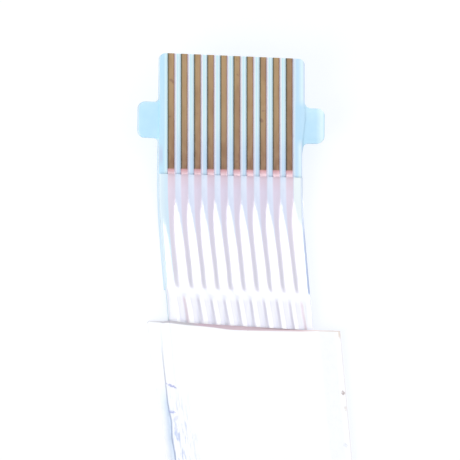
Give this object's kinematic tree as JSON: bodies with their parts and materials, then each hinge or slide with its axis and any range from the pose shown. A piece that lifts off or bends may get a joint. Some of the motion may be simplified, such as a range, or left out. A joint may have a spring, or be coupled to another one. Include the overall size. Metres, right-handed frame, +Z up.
{
  "type": "laptop drive flat cable",
  "caption": "Flat ribbon cable with bare contacts on eared, stiffened ends and a folded tape wrap around its middle.",
  "frame": {"origin": "middle of the flat underside of the tape wrap, where the cable lies on a surface", "axes": "+Y along the cable towards the end that curls up, +X across the ribbon, +Z up from the surface, on the contacts' side"},
  "size_m": [0.0073, 0.1, 0.0019],
  "materials": {
    "conductor": "dull bronze brown plated copper",
    "clear_film": "glossy translucent polyester film",
    "blue_stiffener": "light blue translucent polyester",
    "white_tape": "satin white tape"
  },
  "bodies": {
    "root": {"conductor_01": "conductor", "conductor_02": "conductor", "conductor_03": "conductor", "conductor_04": "conductor", "conductor_05": "conductor", "conductor_06": "conductor", "conductor_07": "conductor", "conductor_08": "conductor", "conductor_09": "conductor", "conductor_10": "conductor", "upper_film": "clear_film", "lower_film": "clear_film", "stiffener_curled_end": "blue_stiffener", "stiffener_flat_end": "blue_stiffener", "wrap_sleeve": "white_tape"}
  },
  "joints": []
}
